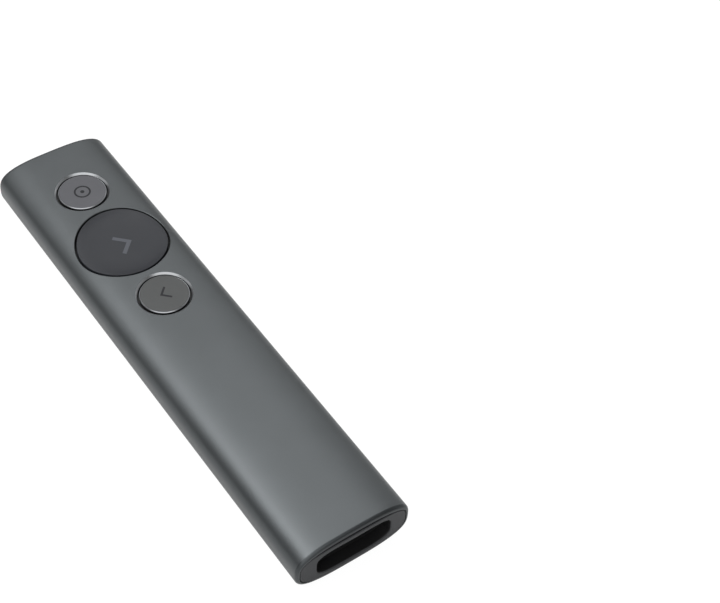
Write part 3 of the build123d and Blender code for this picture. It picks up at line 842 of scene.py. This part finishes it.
dress(amber_film("flex_film", linear(150, 92, 30), linear(190, 122, 52)), "board_flex")
for node, middle_x in (("battery_leads", 0.0), ("motor_leads", 6.5)):
    dress(lead_sleeves(node + "_sleeves", middle_x), node)

# %% [markdown]
# ## Finish: the cell and its foam
# The cell is sealed in laminated foil. Foil is nearly a mirror, but it never lies flat, so a soft
# broad bump with finer creases in it makes its highlights wander. The pad below the cell is open
# foam, which is all small holes: a cell pattern again, deeper and matt.

# %% Foil and foam
def pouch_foil(name, dark, light):
    """Laminated foil with soft dents and fine creases."""
    finish = Finish(name)
    dents, creases = finish.noise(4.0, 2.0), finish.noise(0.8, 5.0)
    return finish.shade(
        Base_Color=finish.mix(creases, dark, light),
        Metallic=0.8,
        Roughness=(creases - 0.5) * 0.16 + 0.34,
        Normal=finish.bump(dents * 0.7 + creases * 0.3, 0.08, 0.7),
    )


def open_foam(name, hole, skin):
    """Foam: dark hollows in the middle of each cell, paler skin between the cells."""
    finish = Finish(name)
    pores = finish.cells(0.45)
    return finish.shade(
        Base_Color=finish.mix(pores, hole, skin),
        Roughness=pores * 0.1 + 0.85,
        Normal=finish.bump(pores, 0.12, 0.8),
    )


dress(pouch_foil("cell_pouch", linear(160, 162, 164), linear(188, 190, 192)), "battery_cell")
dress(open_foam("foam", linear(24, 24, 25), linear(52, 52, 54)), "battery_foam")

# %% [markdown]
# ## Floor
# The clicker lies on a plain white sweep. A white surface under soft light would render as a light
# grey, and more light would burn the metal out. So the paper has two faces: light that bounces
# meets plain matt paper, while the eye, and mirrors and glass, see it mixed with a white glow. A
# part of the plain paper stays in that mix, and with it the clicker's soft contact shadow.

# %% White paper
PAPER_GLOW = 1.05
GLOW_SHARE_SEEN = 0.9
GLOW_SHARE_MIRRORED = 0.4


def white_paper(name):
    """Matt paper, mixed with a white glow wherever it is seen or mirrored."""
    finish = Finish(name)
    fibre = finish.noise(0.6, 3.0)
    paper = finish.node(
        "ShaderNodeBsdfPrincipled",
        None,
        {
            "Base Color": finish.mix(fibre, (0.78, 0.78, 0.78, 1), (0.82, 0.82, 0.82, 1)),
            "Roughness": 0.9,
        },
    )
    glow = finish.node("ShaderNodeEmission", None, {"Strength": PAPER_GLOW})
    seen, mirrored, through = finish.rays()
    share = seen * GLOW_SHARE_SEEN + mirrored * GLOW_SHARE_MIRRORED + through * GLOW_SHARE_SEEN
    finish.close(finish.node("ShaderNodeMixShader", None, {0: share, 1: paper, 2: glow}))
    return finish.material


REACH = 6.0
floor_mesh = bpy.data.meshes.new("floor")
corners = [(-REACH, -REACH, 0), (REACH, -REACH, 0), (REACH, REACH, 0), (-REACH, REACH, 0)]
floor_mesh.from_pydata(corners, [], [(0, 1, 2, 3)])
floor_mesh.materials.append(white_paper("white_paper"))
floor = bpy.data.objects.new("floor", floor_mesh)
bpy.context.scene.collection.objects.link(floor)
print("floor is", 2 * REACH, "metres wide")

# %% [markdown]
# ## Light
# Metal shows its lamps, so their places make the look. The broad glow along the top comes from
# soft boxes high behind the clicker. One of them stands to the left and nearer the tail, and draws
# the streak along the left shoulder, which grows towards the tail. Weaker ones low down keep the
# sides from going black. Then comes a large screen on the camera's side: it hardly touches the
# top, but the small bevels round the buttons face it, and its size makes their light one soft arc.
# The last screen gives the metal something to mirror when it is seen from the other side.

# %% Lamps
# Each lamp's direction, its distance and size in metres, and its power in watts.
LAMPS = {
    "key": ((-0.19, 0.46, 0.87), 0.7, 0.35, 1.65),
    "key_left": ((-0.42, 0.2, 0.88), 0.7, 0.3, 2.0),
    "high_right": ((0.3, 0.28, 0.91), 0.7, 0.35, 1.25),
    "low_behind_left": ((-0.61, 0.61, 0.5), 0.7, 0.35, 0.36),
    "low_behind_right": ((0.61, 0.55, 0.57), 0.7, 0.35, 0.6),
    "low_right": ((0.88, 0.32, 0.34), 0.7, 0.35, 0.35),
    "behind_nose": ((0.22, 0.8, 0.56), 0.7, 0.35, 0.5),
    "camera_side": ((-0.44, -0.56, 0.7), 0.8, 1.15, 7.6),
    "far_side": ((0.92, -0.33, 0.22), 0.8, 0.8, 0.9),
}


def lamp(name, toward, reach, size, power):
    """A square area lamp, reach metres away in a direction, that faces the clicker."""
    data = bpy.data.lights.new(name, "AREA")
    data.shape, data.size, data.energy = "SQUARE", size, power
    made = bpy.data.objects.new(name, data)
    bpy.context.scene.collection.objects.link(made)
    axis = Vector(toward).normalized()
    turned = axis.to_track_quat("Z", "Y").to_matrix().to_4x4()
    made.matrix_world = Matrix.Translation(axis * reach) @ turned
    return made


for name, (toward, reach, size, power) in LAMPS.items():
    lamp(name, toward, reach, size, power)
print("lamps:", len(LAMPS), "and", sum(row[-1] for row in LAMPS.values()), "watts in all")

# %% [markdown]
# The room itself is a weak even grey, which fills what no lamp reaches. A view from low down looks
# past the floor's edge into the room, so the eye sees it as white as the paper, and the metal
# mirrors a trace of that white. A world's nodes are built in the same way as a material's.

# %% Room
ROOM_LEVEL = 0.1
ROOM_SHARE_MIRRORED = 0.03


class Surroundings(Finish):
    """The same node methods on a world's tree in place of a material's."""

    def __init__(self, name):
        self.world = bpy.data.worlds.new(name)
        self.world.use_nodes = True
        self.tree = self.world.node_tree
        self.tree.nodes.clear()


room = Surroundings("room")
seen, mirrored, through = room.rays()
white_share = seen + through + mirrored * ROOM_SHARE_MIRRORED
level = white_share * (1 - ROOM_LEVEL) + ROOM_LEVEL
air = room.node("ShaderNodeBackground", None, {"Color": (1, 1, 1, 1), "Strength": level})
room.close(air, "ShaderNodeOutputWorld")
bpy.context.scene.world = room.world
bpy.context.scene.view_settings.view_transform = "Standard"
